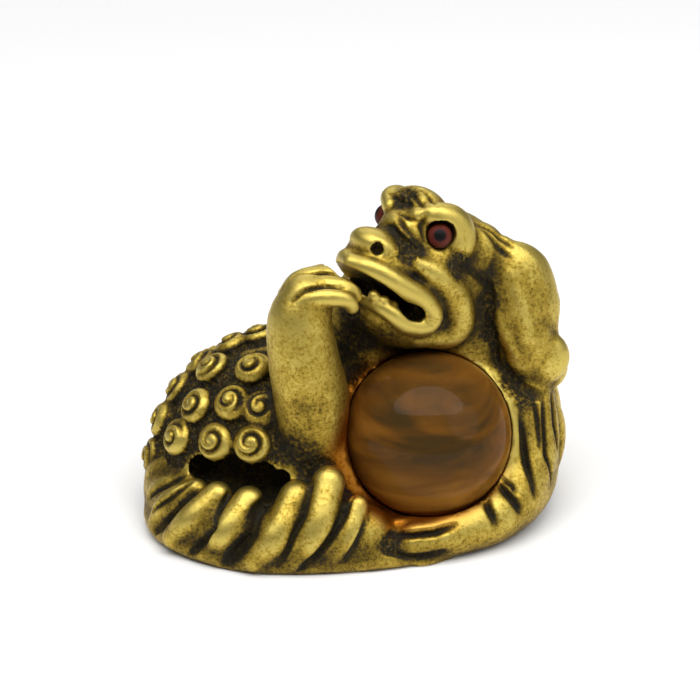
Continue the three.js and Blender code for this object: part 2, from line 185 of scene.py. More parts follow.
masses += [
    head_lump((-7, 0, -2), (8.4, 6.8, 7)),
    head_lump((-3, 0, -0.2), (4.6, 5.4, 4)),
    head_lump((0.2, 0, -5.4), (5, 4.9, 3.2)),
    head_lump((-5, 0, -11.2), (5.6, 5.4, 2.2)),
    head_lump((-7.4, 0, -7), (5, 6.8, 5.6)),
    head_lump((-8.5, 1.5, 0.8), (6.5, 5.6, 4.4)),
]
masses.append(head_lump((-0.2, 0.8, -1.2), (3.6, 3.7, 3.2)))
masses.append(head_lump((-2, 0, 1.9), (3.4, 5, 2.6)))
masses.append(head_lump((-8.2, 5, 1.5), (4, 3, 3.4)))
for side in (near, far):
    masses.append(head_lump((-4.6, 4.2, -2.8), (4.6, 3, 3), side))
    masses.append(head_lump((-7.8, 4.6, -3.4), (4.6, 3.2, 4.4), side))
LIP = [
    (5.2, 0, -7.6, 1.2), (4.2, 2.4, -7.2, 1.3), (1, 4.9, -7.3, 1.35), (-3, 6.1, -7.6, 1.35),
    (-5, 6.1, -9, 1.25), (-3.2, 5.3, -10.6, 1.2), (0, 3.7, -10.4, 1.1), (1.2, 0, -9.9, 1.1),
]
CHEEK = [
    (0.6, 4.4, -4.1, 1), (-2.6, 5.6, -4.1, 1.8), (-7, 6.2, -5.4, 2.2), (-9.6, 5.8, -8, 2.1),
    (-6.4, 4.4, -10.9, 1.5),
]
BROW = [
    (1.6, 2.6, 1, 1.1), (0.4, 4.2, 2.1, 1.6), (-2, 5, 2.2, 2.1), (-3.6, 5.5, 0.6, 2.1),
    (-3.8, 5.7, -1.8, 1.5),
]
forms += [head_lump((2.9, 0, -4.4), (3.1, 3.4, 2)), head_lump((-0.6, 0.3, 2.2), (3, 4, 2.6))]
for side in (near, far):
    forms.append(head_lump((1.8, 2.6, -4.3), (1.9, 1.6, 1.6), side))
    forms += [roll([side(p) for p in line]) for line in (LIP, CHEEK, BROW)]

MOUTH = ((0.6, 0, -8.9), (6.4, 5.6, 1.2))
MOUTH_CORNER = ((-2.2, 4.9, -9), (1.9, 1.9, 1.35))
NOSTRIL = (4.6, 1.9, -4.8)
NOSTRIL_RADIUS = 0.85
EYE_HOLLOW = ((-0.3, 5.2, 0.4), 1.72)
TEETH = [(1.9, 2.5, -9.7), (0.8, 3.3, -9.7), (-0.3, 3.9, -9.7)]
TOOTH_RADIUS = 0.7
cuts = [head_lump(*MOUTH)] + [head_lump(*MOUTH_CORNER, side) for side in (near, far)]
cuts += [lump(side(EYE_HOLLOW[0]), [EYE_HOLLOW[1]] * 3) for side in (near, far)]
cuts += [lump(side(NOSTRIL), [NOSTRIL_RADIUS] * 3) for side in (near, far)]
teeth = [lump(side(tooth), [TOOTH_RADIUS] * 3) for side in (near, far) for tooth in TEETH]

# Ears: thick hanging flaps with a rounded front edge and a heavy lobe.
NEAR_EAR = [
    (17.2, 1.6, 32.4, 2.4), (20.2, 0.6, 30, 3.9), (21.4, -0.6, 26, 4.4), (22, -0.8, 22.4, 3.6),
    (23, -0.4, 19.4, 3.1), (24, 0, 18, 2.6),
]
FAR_EAR = [
    (5.6, 7.8, 32.4, 2.4), (7.6, 9.6, 30, 3.8), (7.8, 11.6, 26, 3.9), (7.6, 13, 21.4, 3),
    (7.6, 13.8, 18, 2.6),
]
EAR_THIN = 0.55
NEAR_EAR_EDGE = [(16.6, 0.2, 31.4, 1.3), (17.8, -1, 28, 1.5), (18.6, -1.8, 24.5, 1.6), (20, -2, 21.4, 1.6)]
NEAR_EAR_FACE = [(18.8, -0.4, 30.6, 1.7), (19.9, -1.5, 27, 1.9), (20.8, -2, 23.4, 1.8)]
LOBE = ((22.7, -0.9, 20), (3.6, 2.2, 3.6))
forms += [
    roll(NEAR_EAR_EDGE),
    roll(NEAR_EAR_FACE),
    lump(*LOBE),
    lump((21, -1.4, 21.6), (3.4, 2.2, 4.4)),
    roll(NEAR_EAR, ((0.5, -0.85, 0.15), EAR_THIN)),
    roll(FAR_EAR, ((-0.5, 0.85, 0.2), 0.7)),
]

UNDER_LOBE = [
    (17.8, -2.8, 22, 0.5), (18.3, -2.9, 19.6, 0.8), (20.1, -3.4, 17.4, 0.9), (22.6, -3.4, 16.2, 0.9),
    (25.4, -2.4, 16.5, 0.7),
]
cuts.append(roll(UNDER_LOBE))

# Mane: wavy strands that fall from the nape over the shoulder and down the back.
MANE_BEARINGS = range(-30, 151, 20)
MANE_WAVE = 4
STRAND_RADIUS = 1.3


def on_mass(mass, longitude, latitude, proud=0):
    """A point on a rounded mass, by degrees round it and up it"""
    centre, radii = mass
    lon, lat = math.radians(longitude), math.radians(latitude)
    out = (math.cos(lat) * math.cos(lon), math.cos(lat) * math.sin(lon), math.sin(lat))
    return tuple(c + o * (r + proud) for c, o, r in zip(centre, out, radii))


def round_neck(centre, reach, bearing):
    angle = math.radians(bearing)
    return (centre[0] + reach * math.cos(angle), centre[1] + reach * math.sin(angle), centre[2])


for bearing in MANE_BEARINGS:
    places = [
        round_neck((12.5, 4.6, 29), 6.6, bearing - MANE_WAVE),
        round_neck((13, 5.5, 20.5), 8.2, bearing + MANE_WAVE),
        on_mass(SHOULDER, bearing - MANE_WAVE, 30),
        on_mass(SHOULDER, bearing + MANE_WAVE, 0),
        on_mass(SHOULDER, bearing - MANE_WAVE, -28),
    ]
    forms.append(roll([(*place, STRAND_RADIUS) for place in places]))

# Raised hind leg: its paw is held to the lips, four curled toes on a thick shank.
SHANK = [
    (-4.8, -6.5, 4, 4), (-4.8, -8.2, 13.4, 4.4), (-4.6, -8.8, 18.6, 4.6), (-5.4, -9, 23.6, 4.3),
    (-5.8, -8.5, 28.4, 3.9), (-5, -8, 30.8, 3.3),
]
RAISED_TOES = [
    [(-7.4, -6.5, 30.6, 1.1), (-6, -6.5, 32.4, 1.2), (-2.9, -6.4, 33, 1.2), (0.3, -6.2, 32.3, 1)],
    [(-7.2, -8.2, 30.2, 1.1), (-5.5, -8.3, 32.2, 1.2), (-2.5, -8.3, 32.6, 1.2), (0.2, -8, 31.9, 1), (0.7, -7.8, 31, 0.8)],
    [(-6.8, -9.5, 29.6, 1.1), (-5, -10, 31.4, 1.2), (-2.3, -9.9, 31.8, 1.2), (-0.2, -9.6, 31.2, 1), (0.3, -9.3, 30.2, 0.8)],
    [(-6.6, -5, 31, 1.1), (-3.6, -4.8, 32.6, 1.1), (0, -4.6, 32.4, 1), (1.4, -4.6, 31.4, 0.9)],
]
masses.append(roll(SHANK))
forms += [roll(toe) for toe in RAISED_TOES]

# Foreleg: it reaches round the ball from the right, with its toes towards the middle.
LIMB = [
    (21.5, 4, 6, 4.4), (20.6, -3.6, 4.4, 4.2), (17.2, -9, 3.4, 3.8), (12.6, -12.4, 2.8, 3.1),
    (8, -14.4, 2.6, 2.6),
]
FORE_TOES = [(4, -13.4, 1.3), (2.4, -14.8, 1.3), (0.8, -15.4, 1.2)]
TOE_ROOT, TOE_END = 11.4, 5.6
masses.append(roll(LIMB))
for z, y, radius in FORE_TOES:
    forms.append(roll([
        (TOE_ROOT, y + 1.6, z, radius),
        ((TOE_ROOT + TOE_END) / 2, y, z, radius),
        (TOE_END, y + 0.3, z - 0.2, 0.8 * radius),
    ]))

# Tail: one thick brush swept round the front, with thumb-like locks laid over it.
BRUSH = [
    (-18.8, 7, 4, 4.4), (-21.2, -1, 3.6, 4), (-19.2, -8.6, 3.4, 4), (-13.8, -13.2, 3.4, 4), (-8, -15, 3.6, 4),
    (-2.5, -15, 4, 4), (1.6, -14, 3.4, 3.4),
]
LOCKS = [
    [(-23.7, -2.8, 3.2, 1.4), (-22.9, -3.4, 6, 1.6), (-20, -5, 7.8, 1.6)],
    [(-23.8, -5.8, 2.4, 1), (-22.8, -6.6, 5.2, 1.2), (-19.4, -8, 7, 1.1)],
    [(-22.9, -9, 2, 1.3), (-21.6, -9.6, 4.8, 1.5), (-18.2, -10.2, 7, 1.4)],
    [(-20.8, -12.8, 2, 1.5), (-18.6, -13.4, 4.8, 1.8), (-15.6, -12, 7.2, 1.7)],
    [(-16.2, -15.2, 2, 1.4), (-14.6, -15.9, 4.4, 2), (-11.9, -13.6, 7.2, 1.9)],
    [(-11.1, -17.2, 1.8, 1.9), (-8.6, -17.2, 4.6, 2.2), (-6.3, -14.2, 8, 2.1)],
    [(-6.2, -17.4, 1.8, 1.8), (-4, -17.2, 5.4, 2.1), (-2.5, -13.8, 9.9, 2)],
    [(-2.6, -17.4, 1.8, 1.4), (-0.4, -17.2, 4.4, 1.5), (0.9, -15.2, 7.6, 1.3)],
]
RIM = [
    (-22.8, -3, 1.1, 1.3), (-21.2, -9.8, 1.1, 1.3), (-17, -14.9, 1.1, 1.3), (-12.5, -17.1, 1.1, 1.3),
    (-7, -17.7, 1.1, 1.3), (-1, -17.3, 1.1, 1.3), (6, -16, 1.1, 1.3), (12, -13.4, 1.1, 1.3),
    (17.5, -9.4, 1.1, 1.3), (22, -3, 1.1, 1.3),
]
TRENCH = [(-18.8, -5.6, 8.4, 1.5), (-15.8, -8.4, 8.6, 2.8), (-11.4, -10.2, 8.4, 3.6), (-8.2, -10.8, 8.2, 2.6)]
masses += [roll(BRUSH), roll(RIM)]
forms += [roll(lock) for lock in LOCKS]
trench = roll(TRENCH)

# Curls: snail-shell locks over the rump in staggered rows, low domes with a spiral cut into each
CURL_RADIUS = 2.4
CURL_DOME = 1.8
CURL_SUNK = 0.1
CURL_TURNS = 1.35
KNOTS_A_TURN = 14
SPIRAL_CUT = (0.29, 0.6)
FRONT_CURLS = [
    (-173, 9), (-178, 24), (175, 37), (163, 48), (153, 62), (135, 71), (-151, 26), (-150, 41),
    (-170, 56), (-130, 66), (-127, 31), (-127, 48), (-107, 48), (-108, 33),
]
CURL_PITCH = 5.4
BACK_ROWS = [(26, 150), (43, 143), (60, 118)]
LAST_CURL = 58

spiral = []
knot_count = int(CURL_TURNS * KNOTS_A_TURN)
for i in range(knot_count + 1):
    share = i / knot_count
    reach = (CURL_RADIUS - 0.55) * (1 - share) + 0.45 * share
    angle = 2 * math.pi * CURL_TURNS * share
    height = CURL_DOME * math.sqrt(1 - (reach / CURL_RADIUS) ** 2)
    spiral.append(Vector((reach * math.cos(angle), reach * math.sin(angle), height)))
snail = lump((0, 0, 0), (CURL_RADIUS, CURL_RADIUS, CURL_DOME))

curl_places = list(FRONT_CURLS)
for latitude, start in BACK_ROWS:
    row_radius = RUMP[1][1] * math.cos(math.radians(latitude))
    step = math.degrees(CURL_PITCH / row_radius)
    while start > LAST_CURL:
        curl_places.append((start, latitude))
        start -= step

curls = []
spirals = []
for number, (longitude, latitude) in enumerate(curl_places):
    place = Vector(on_mass(RUMP, longitude, latitude, -CURL_SUNK))
    out = (Vector(on_mass(RUMP, longitude, latitude, 1)) - place).normalized()
    east = Vector((0, 0, 1)).cross(out).normalized()
    stand = Matrix((east, out.cross(east), out)).transposed() @ Matrix.Rotation(number * 2.2, 3, "Z")
    copy = snail.copy()
    copy.data = snail.data.copy()
    bpy.context.scene.collection.objects.link(copy)
    copy.data.transform(Matrix.Translation(place * MM) @ stand.to_4x4())
    curls.append(copy)
    spirals.append([*SPIRAL_CUT, [tuple(place + stand @ knot) for knot in spiral]])
bpy.data.objects.remove(snail)

# Casting: the masses run into each other softly, the carved forms keep rounder edges, and the
# curls stay crisp. Each is cast together with what came before it.
VOXEL = 0.2


def shaped(piece, kind, **settings):
    alone(piece)
    modifier = piece.modifiers.new(kind, kind)
    for name, value in settings.items():
        setattr(modifier, name, value)
    bpy.ops.object.modifier_apply(modifier=modifier.name)


def cast(pieces, voxel, smoothing):
    whole = joined(pieces)
    shaped(whole, "REMESH", mode="VOXEL", voxel_size=voxel * MM, use_smooth_shade=True)
    if smoothing:
        shaped(whole, "SMOOTH", factor=0.5, iterations=smoothing)
    return whole


figure = cast(masses, 0.5, 12)
shaped(trench, "REMESH", mode="VOXEL", voxel_size=0.3 * MM)
shaped(figure, "BOOLEAN", operation="DIFFERENCE", object=trench, solver="MANIFOLD")
bpy.data.objects.remove(trench)
figure = cast([figure, *forms], 0.27, 3)
hollow = joined(cuts)
shaped(hollow, "REMESH", mode="VOXEL", voxel_size=0.2 * MM)
shaped(figure, "BOOLEAN", operation="DIFFERENCE", object=hollow, solver="MANIFOLD")
figure = cast([figure, *curls, *teeth], VOXEL, 1)
bpy.data.objects.remove(hollow)

# The seats of the ball and the beads, and the flat underside
ball_low, ball_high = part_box("ball")
ball_centre = (ball_low + ball_high) / 2
ball_radius = (ball_high.z - ball_low.z) / 2
SEAT_GAP = 0.08 * MM
SEAT_OPENING = Vector((0, -1.8, 0.85)) * MM
bpy.ops.object.select_all(action="DESELECT")
bpy.ops.mesh.primitive_uv_sphere_add(
    segments=96, ring_count=48, radius=ball_radius + SEAT_GAP, location=ball_centre
)
bpy.ops.object.transform_apply(location=True, rotation=True, scale=True)
seat = bpy.context.object
opening = seat.copy()
opening.data = seat.data.copy()
opening.data.transform(Matrix.Translation(SEAT_OPENING))
bpy.context.scene.collection.objects.link(opening)
eye_centres = {}
for node in ("eye_left", "eye_right"):
    low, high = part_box(node)
    eye_centres[node] = (low + high) / 2
sockets = [lump(centre / MM, [1.6] * 3) for centre in eye_centres.values()]
bpy.ops.object.select_all(action="DESELECT")
bpy.ops.mesh.primitive_cube_add(size=0.2, location=(0, 0, -0.1))
bpy.ops.object.transform_apply(location=True, rotation=True, scale=True)
below = bpy.context.object
for cutter in (seat, opening, *sockets, below):
    shaped(figure, "BOOLEAN", operation="DIFFERENCE", object=cutter, solver="MANIFOLD")
    bpy.data.objects.remove(cutter)

# Hollows: how deep each point lies below its surroundings, felt on a grid
GRID = 0.4
PAD = 8


def inside_grid(piece):
    tree = BVHTree.FromObject(piece, bpy.context.evaluated_depsgraph_get())
    low = np.array([min(v[i] for v in piece.bound_box) for i in range(3)]) / MM - PAD * GRID
    high = np.array([max(v[i] for v in piece.bound_box) for i in range(3)]) / MM + PAD * GRID
    shape = np.ceil((high - low) / GRID).astype(int) + 1
    grid = np.zeros(shape, np.float32)
    down = Vector((0, 0, -1))
    for i in range(shape[0]):
        for j in range(shape[1]):
            x, y = low[0] + i * GRID, low[1] + j * GRID
            z = high[2]
            inside = False
            while True:
                hit = tree.ray_cast(Vector((x, y, z)) * MM, down)[0]
                bottom = hit.z / MM if hit else low[2]
                if inside:
                    grid[i, j, max(0, math.ceil((bottom - low[2]) / GRID)):math.floor((z - low[2]) / GRID) + 1] = 1
                if not hit:
                    break
                inside = not inside
                z = bottom - 0.01
    return grid, low


def blurred(grid, reach):
    count = int(3 * reach / GRID)
    kernel = np.exp(-0.5 * (np.arange(-count, count + 1) * GRID / reach) ** 2)
    kernel /= kernel.sum()
    for axis in range(3):
        grid = np.apply_along_axis(lambda line: np.convolve(line, kernel, "same"), axis, grid)
    return grid


def sampled(grid, low, points):
    place = (points - low) / GRID
    corner = np.floor(place).astype(int)
    part = place - corner
    total = np.zeros(len(points))
    for step in np.ndindex(2, 2, 2):
        weight = np.prod(np.where(step, part, 1 - part), axis=1)
        total += weight * grid[tuple((corner + step).T)]
    return total


# Chasing: grooves cut with a graver into the cast surface, each [half width, depth, places], and
# patches left rough by a punch, each [place, reach, strength]. Some patches are painted shade, not punch marks.
GROOVES = [
    [0.38, 0.9, [(20.5, -4.9, 14.6), (20.7, -5.9, 11.4), (21, -7.3, 9.1), (22, -9.1, 5.4)]],
    [0.28, 0.7, [(23.1, -3, 15.7), (23.2, -4.3, 12.6), (23.4, -5.9, 9.4), (24.2, -5.6, 5.6)]],
    [0.3, 0.5, [(22, -3.6, 15.6), (22.5, -4.6, 12.8), (22.8, -5.9, 10.1)]],
    [0.35, 0.8, [(24.2, -1.5, 15.4), (24.6, -3.2, 12.1), (25, -3.7, 9)]],
    [0.45, 0.9, [(17.6, -9.1, 7.3), (18.5, -10.2, 6.7), (20.2, -11, 4.4)]],
    [0.45, 0.8, [(16, -11.1, 6.5), (16.4, -12.5, 5.7), (17.2, -13.3, 4)]],
    [0.3, 0.4, [(17.8, -8.7, 7.7), (19.1, -9.4, 7.2), (19.8, -10.2, 6.3)]],
    [0.45, 0.9, [(4.8, -15.3, 3.9), (7.3, -16.1, 4.1), (10, -15.8, 4.3), (12.6, -14.8, 4.8)]],
    [0.4, 0.8, [(4, -16.9, 2.3), (6.5, -16.5, 1.5), (9.2, -16.4, 1.5), (11.4, -15.9, 1.8)]],
    [0.3, 0.6, [(-19.5, -8.3, 7.9), (-21.7, -8.6, 6.7), (-24, -7.4, 4.5)]],
    [0.3, 0.6, [(-18.7, -10.4, 8.1), (-21.3, -10.9, 6.2), (-23.7, -9.7, 3.7)]],
    [0.4, 0.9, [(-18.1, -11.6, 7.3), (-20.7, -12.4, 5.2), (-23.4, -11, 1.4)]],
    [0.4, 1.1, [(-14, -12.6, 8), (-16, -16.7, 5.5), (-19.2, -15.9, 1)]],
    [0.6, 1.5, [(-9.2, -12.2, 7.6), (-11.5, -17.3, 4.9), (-15, -18.2, 0.8)]],
    [0.3, 0.8, [(-4.2, -14.4, 10.4), (-5.5, -17.5, 7.2), (-8.4, -19, 1.4)]],
    [0.38, 1, [(0.4, -14.8, 9), (-2, -18.4, 5.2), (-6, -19.3, 0.6)]],
    [0.4, 0.5, [(1.8, -16.4, 6.4), (0.9, -18, 4.3), (-0.6, -18.4, 2)]],
    [0.25, 0.5, [(-7.9, -8.6, 31.9), (-6.1, -7.7, 33.4), (-3.5, -7.6, 34), (-0.2, -7.2, 33.4)]],
    [0.4, 0.6, [(12.2, -4.2, 33.8), (14.4, -2.5, 31.8), (16.3, -1.5, 29.7), (16.8, -2, 26.9), (16.6, -1.7, 23.7)]],
    [0.3, 0.4, [(15.5, 0.3, 36.2), (17.3, -0.4, 34.1), (18.8, -0.8, 32.8)]],
    [0.3, 0.4, [(14.6, 0.8, 37.4), (17, 0.6, 35.4), (19.4, 0.2, 33.8)]],
    [0.4, 0.6, [(3.9, -2.6, 38), (5, -3.4, 37.7), (6.5, -4.7, 36.1), (7, -6.2, 34.3)]],
    [0.3, 0.4, [(8.9, -3.3, 39.7), (8.2, -3.5, 38), (8.7, -4, 36.2)]],
    [0.25, 0.35, [(4.5, 2.4, 39.9), (5.6, 0.4, 39.7), (7.2, -1.5, 39.7)]],
    [0.25, 0.35, [(6.1, 1.5, 40.5), (7.5, -0.5, 40.4), (8.6, -2.8, 40)]],
    [0.25, 0.35, [(8.2, 0.6, 41), (9.3, -0.7, 40.6), (10, -2.7, 40.3)]],
    [0.25, 0.35, [(5.4, -1.6, 39), (6.7, -2.9, 38.8), (8.1, -3.2, 38.4)]],
    [0.3, 0.4, [(7.2, -4.2, 37.1), (6.3, -3.8, 37.9), (5.6, -2.4, 38.8)]],
    [0.3, 0.4, [(5.3, -3.4, 37.2), (5.9, -4.6, 36.1), (5.7, -6.2, 35.1)]],
    [0.25, 0.5, [(-6.9, -10.8, 31.5), (-5.2, -10.3, 32.8), (-2.9, -9.8, 33.3), (-0.3, -9.4, 32.4)]],
]
# The patches in the trench, under the lobe and between the leg, the chin and the ball are painted shade. They darken
# the brass where shade falls, with grit and flecks.
ROUGH_AND_SHADE_PATCHES = [
    [(6.7, -5, 35.6), 2.2, 0.9], [(6.4, 0, 40.5), 2.2, 0.9], [(12.8, -3.9, 33.2), 2.2, 0.8],
    [(16.4, -1.9, 27.9), 1.7, 1], [(16.6, -1.7, 23.9), 1.7, 1], [(-6.2, -12.3, 13.3), 3.4, 0.45],
    [(-4.6, -13.1, 18), 4, 0.15], [(-18.8, -5.7, 8.4), 2.4, 1], [(-12, -8.4, 10.6), 3.8, 1],
    [(-8.5, -10.6, 11.4), 2.6, 1], [(-4.6, -11.6, 11), 2.2, 1], [(4.7, -16.1, 3), 1.6, 0.8],
    [(19.2, -3.6, 17.8), 2.3, 0.8], [(20.8, -4, 15.8), 2, 0.6], [(-0.4, -4, 23.4), 4.2, 0.9],
    [(0, -3, 26.6), 4, 1], [(1.4, -4.4, 19.4), 2.8, 0.9], [(4, -6, 25.2), 3, 0.4],
]
SAMPLE = 0.2
CURL_GROUND = 3.6
curl_middles = [np.array(on_mass(RUMP, *at)) for at in curl_places]


def read_points(piece):
    co = np.empty(len(piece.data.vertices) * 3)
    piece.data.vertices.foreach_get("co", co)
    normal = np.empty(len(co))
    piece.data.vertices.foreach_get("normal", normal)
    return co.reshape(-1, 3) / MM, normal.reshape(-1, 3)


def chased(piece, grooves, rough):
    """Sinks the surface along each groove and roughens the patches. Returns how far each point sank, and the grit,
    which in the shade patches is painted shade.
    """
    tree = BVHTree.FromObject(piece, bpy.context.evaluated_depsgraph_get())
    co, normal = read_points(piece)
    sunk = np.zeros(len(co))
    for half, depth, places in grooves:
        line = []
        for a, b in zip(places, places[1:]):
            a, b = Vector(a), Vector(b)
            count = max(1, int((b - a).length / SAMPLE))
            line += [a.lerp(b, i / count) for i in range(count)]
        line.append(Vector(places[-1]))
        line = [tree.find_nearest(p * MM)[0] / MM for p in line]
        spots = np.array(line)
        taper = np.sin(np.pi * (np.arange(len(spots)) + 0.5) / len(spots)) ** 0.6
        reach = 2.5 * half
        close = np.flatnonzero(np.all((co > spots.min(0) - reach) & (co < spots.max(0) + reach), axis=1))
        away = np.linalg.norm(co[close, None] - spots[None], axis=2)
        cut = (depth * taper * np.exp(-((away / half) ** 2))).max(axis=1)
        sunk[close] = np.maximum(sunk[close], cut)
    grit_and_painted_shade = np.zeros(len(co))
    for centre, reach, strength in rough:
        away = np.linalg.norm(co - centre, axis=1)
        close = np.flatnonzero(away < reach)
        grit_and_painted_shade[close] = np.maximum(grit_and_painted_shade[close], strength * np.clip(1.6 * (1 - away[close] / reach), 0, 1))
    recess = sampled(blurred(solid_grid, 1.6), grid_low, co)
    grit_and_painted_shade = np.maximum(grit_and_painted_shade, np.clip(6 * (recess - 0.58), 0, 0.6))
    rump_middle, rump_radii = (np.array(part) for part in RUMP)
    proud = (np.linalg.norm((co - rump_middle) / rump_radii, axis=1) - 1) * rump_radii.mean()
    for curl_middle in curl_middles:
        ground = (np.linalg.norm(co - curl_middle, axis=1) < CURL_GROUND) & (abs(proud) < 1.5)
        grit_and_painted_shade[ground] = np.maximum(grit_and_painted_shade[ground], np.clip(1.3 * (0.75 - proud[ground]), 0, 0.8))
    for i in np.flatnonzero(grit_and_painted_shade):
        sunk[i] += 0.35 * grit_and_painted_shade[i] * max(0, 0.5 + noise.fractal(Vector(co[i]) * 1.8, 0.8, 2.2, 3))
    co -= normal * sunk[:, None]
    piece.data.vertices.foreach_set("co", (co * MM).ravel())
    piece.data.update()
    return sunk, grit_and_painted_shade


solid_grid, grid_low = inside_grid(figure)
sunk, grit_and_painted_shade = chased(figure, GROOVES + spirals, ROUGH_AND_SHADE_PATCHES)
for name, values in (("graver", sunk), ("grit_and_painted_shade", grit_and_painted_shade)):
    layer = figure.data.attributes.new(name, "FLOAT", "POINT")
    layer.data.foreach_set("value", values.astype(np.float32))

MOST_TRIANGLES = 190000
shaped(figure, "TRIANGULATE")
shaped(figure, "DECIMATE", ratio=MOST_TRIANGLES / len(figure.data.polygons))
figure.name = "cast_figure"

# Patina and painted shade: dark in the hollows, worn bright on what stands proud. The fine and wide hollows hold the
# brass's patina; the deep hollows are partly patina and partly painted shade.
mesh = figure.data
points, _ = read_points(figure)
for name, reach in (("hollow_fine", 0.6), ("hollow_wide", 1.6), ("hollow_deep", 3.6)):
    depth = sampled(blurred(solid_grid, reach), grid_low, points)
    layer = mesh.attributes.new(name, "FLOAT", "POINT")
    layer.data.foreach_set("value", depth.astype(np.float32))


def linear(colour):
    channels = [int(colour[i:i + 2], 16) / 255 for i in (1, 3, 5)]
    return (*(c / 12.92 if c <= 0.04045 else ((c + 0.055) / 1.055) ** 2.4 for c in channels), 1)


def new_material(name):
    material = bpy.data.materials.new(name)
    material.use_nodes = True
    return material, material.node_tree.nodes["Principled BSDF"]


def add(material, kind, settings=None, inputs=None):
    """Adds a node. Settings name its properties, and inputs name what feeds its sockets: a value or
    another node's output."""
    node = material.node_tree.nodes.new(kind)
    for name, value in (settings or {}).items():
        setattr(node, name, value)
    for name, source in (inputs or {}).items():
        if isinstance(source, bpy.types.NodeSocket):
            material.node_tree.links.new(source, node.inputs[name])
        else:
            node.inputs[name].default_value = source
    return node


brass, surface = new_material("aged_brass_and_painted_light")
place = add(brass, "ShaderNodeTexCoord").outputs["Object"]
measures = {
    name: add(brass, "ShaderNodeAttribute", {"attribute_name": name}).outputs["Fac"]
    for name in ("hollow_fine", "hollow_wide", "hollow_deep", "graver", "grit_and_painted_shade")
}
MOTTLE = 2 * MM
SPECK = 0.4 * MM
mottle = add(brass, "ShaderNodeTexNoise", None, {
    "Vector": place, "Scale": 1 / MOTTLE, "Detail": 6.0, "Roughness": 0.6}).outputs["Fac"]
speck = add(brass, "ShaderNodeTexNoise", None, {
    "Vector": place, "Scale": 1 / SPECK, "Detail": 5.0, "Roughness": 0.75}).outputs["Fac"]
speck_share = add(brass, "ShaderNodeMath", {"operation": "MULTIPLY_ADD"}, {
    0: measures["grit_and_painted_shade"], 1: 1.6, 2: 0.6}).outputs[0]
speckled = add(brass, "ShaderNodeMath", {"operation": "MULTIPLY"}, {0: speck, 1: speck_share}).outputs[0]
evened = add(brass, "ShaderNodeMath", {"operation": "MULTIPLY_ADD"}, {
    0: speck_share, 1: -0.5, 2: speckled}).outputs[0]
pits = add(brass, "ShaderNodeMapRange", None, {
    "Value": speck, "From Min": 0.52, "From Max": 0.72, "To Min": 0.0, "To Max": 0.2}).outputs[0]
height = add(brass, "ShaderNodeSeparateXYZ", None, {0: place}).outputs["Z"]
# Darker towards the bottom, over the lowest 4.5 mm.
darker_near_floor = add(brass, "ShaderNodeMapRange", None, {
    "Value": height, "From Min": 0.0, "From Max": 4.5 * MM, "To Min": 0.42, "To Max": 0.0}).outputs[0]
# Painted light: a warm amber glow round the ball's seat, lighter and tinted orange. It is painted on the brass for
# light passing through and reflecting off the amber ball.
below_left = ball_centre + Vector((-2.4, 0, -2)) * MM
from_painted_glow = add(brass, "ShaderNodeVectorMath", {"operation": "DISTANCE"}, {0: place, 1: below_left}).outputs["Value"]
painted_amber_glow = add(brass, "ShaderNodeMapRange", None, {
    "Value": from_painted_glow, "From Min": 10.4 * MM, "From Max": 12.8 * MM, "To Min": 0.8, "To Max": 0.0}).outputs[0]
# How dark the brass is: patina in the hollows and graver cuts, and painted shade in the deep hollows and the shade
# patches of the grit. It is darker towards the bottom, and lifted by the painted amber glow.
soil_and_painted_light = -1.15
for share, measure in (
    (1.2, measures["hollow_fine"]), (1.0, measures["hollow_wide"]), (0.5, measures["hollow_deep"]),
    (0.45, measures["graver"]), (0.45, measures["grit_and_painted_shade"]), (1.0, darker_near_floor), (-0.3, painted_amber_glow),
):
    soil_and_painted_light = add(brass, "ShaderNodeMath", {"operation": "MULTIPLY_ADD"}, {0: measure, 1: share, 2: soil_and_painted_light}).outputs[0]
soil_and_painted_light = add(brass, "ShaderNodeMath", {"operation": "MINIMUM"}, {0: soil_and_painted_light, 1: 0.5}).outputs[0]
for share, measure in ((0.5, mottle), (1.0, evened), (1.0, pits)):
    soil_and_painted_light = add(brass, "ShaderNodeMath", {"operation": "MULTIPLY_ADD"}, {0: measure, 1: share, 2: soil_and_painted_light}).outputs[0]
soil_and_painted_light = add(brass, "ShaderNodeMath", {"operation": "MULTIPLY_ADD"}, {0: soil_and_painted_light, 1: 1.4, 2: -0.15}).outputs[0]
tone = add(brass, "ShaderNodeValToRGB", None, {"Fac": soil_and_painted_light})
TONES = [
    (0.0, "#cdb75c"), (0.24, "#b0953c"), (0.46, "#86702c"), (0.68, "#54441e"), (0.86, "#332c16"),
    (1.0, "#1c180e"),
]
for element, (position, colour) in zip(tone.color_ramp.elements, (TONES[0], TONES[-1])):
    element.position, element.color = position, linear(colour)
for position, colour in TONES[1:-1]:
    tone.color_ramp.elements.new(position).color = linear(colour)
# The painted amber glow tints the brass towards orange.
tone_with_painted_glow = add(brass, "ShaderNodeMix", {"data_type": "RGBA", "blend_type": "MULTIPLY"}, {
    "Factor": painted_amber_glow, 6: tone.outputs["Color"], 7: linear("#f09c3c")}).outputs[2]
metal = add(brass, "ShaderNodeMapRange", None, {
    "Value": soil_and_painted_light, "From Min": 0.55, "From Max": 1.0, "To Min": 1.0, "To Max": 0.1}).outputs[0]
rough = add(brass, "ShaderNodeMapRange", None, {
    "Value": soil_and_painted_light, "From Min": 0.0, "From Max": 0.8, "To Min": 0.4, "To Max": 0.65}).outputs[0]
uneven = add(brass, "ShaderNodeMath", {"operation": "MULTIPLY_ADD"}, {
    0: speck, 1: speck_share, 2: mottle}).outputs[0]
bump = add(brass, "ShaderNodeBump", None, {
    "Height": uneven, "Strength": 0.4, "Distance": 0.25 * MM}).outputs[0]
surface.inputs["Specular IOR Level"].default_value = 0.2
for socket, source in (("Base Color", tone_with_painted_glow), ("Metallic", metal), ("Roughness", rough), ("Normal", bump)):
    brass.node_tree.links.new(source, surface.inputs[socket])
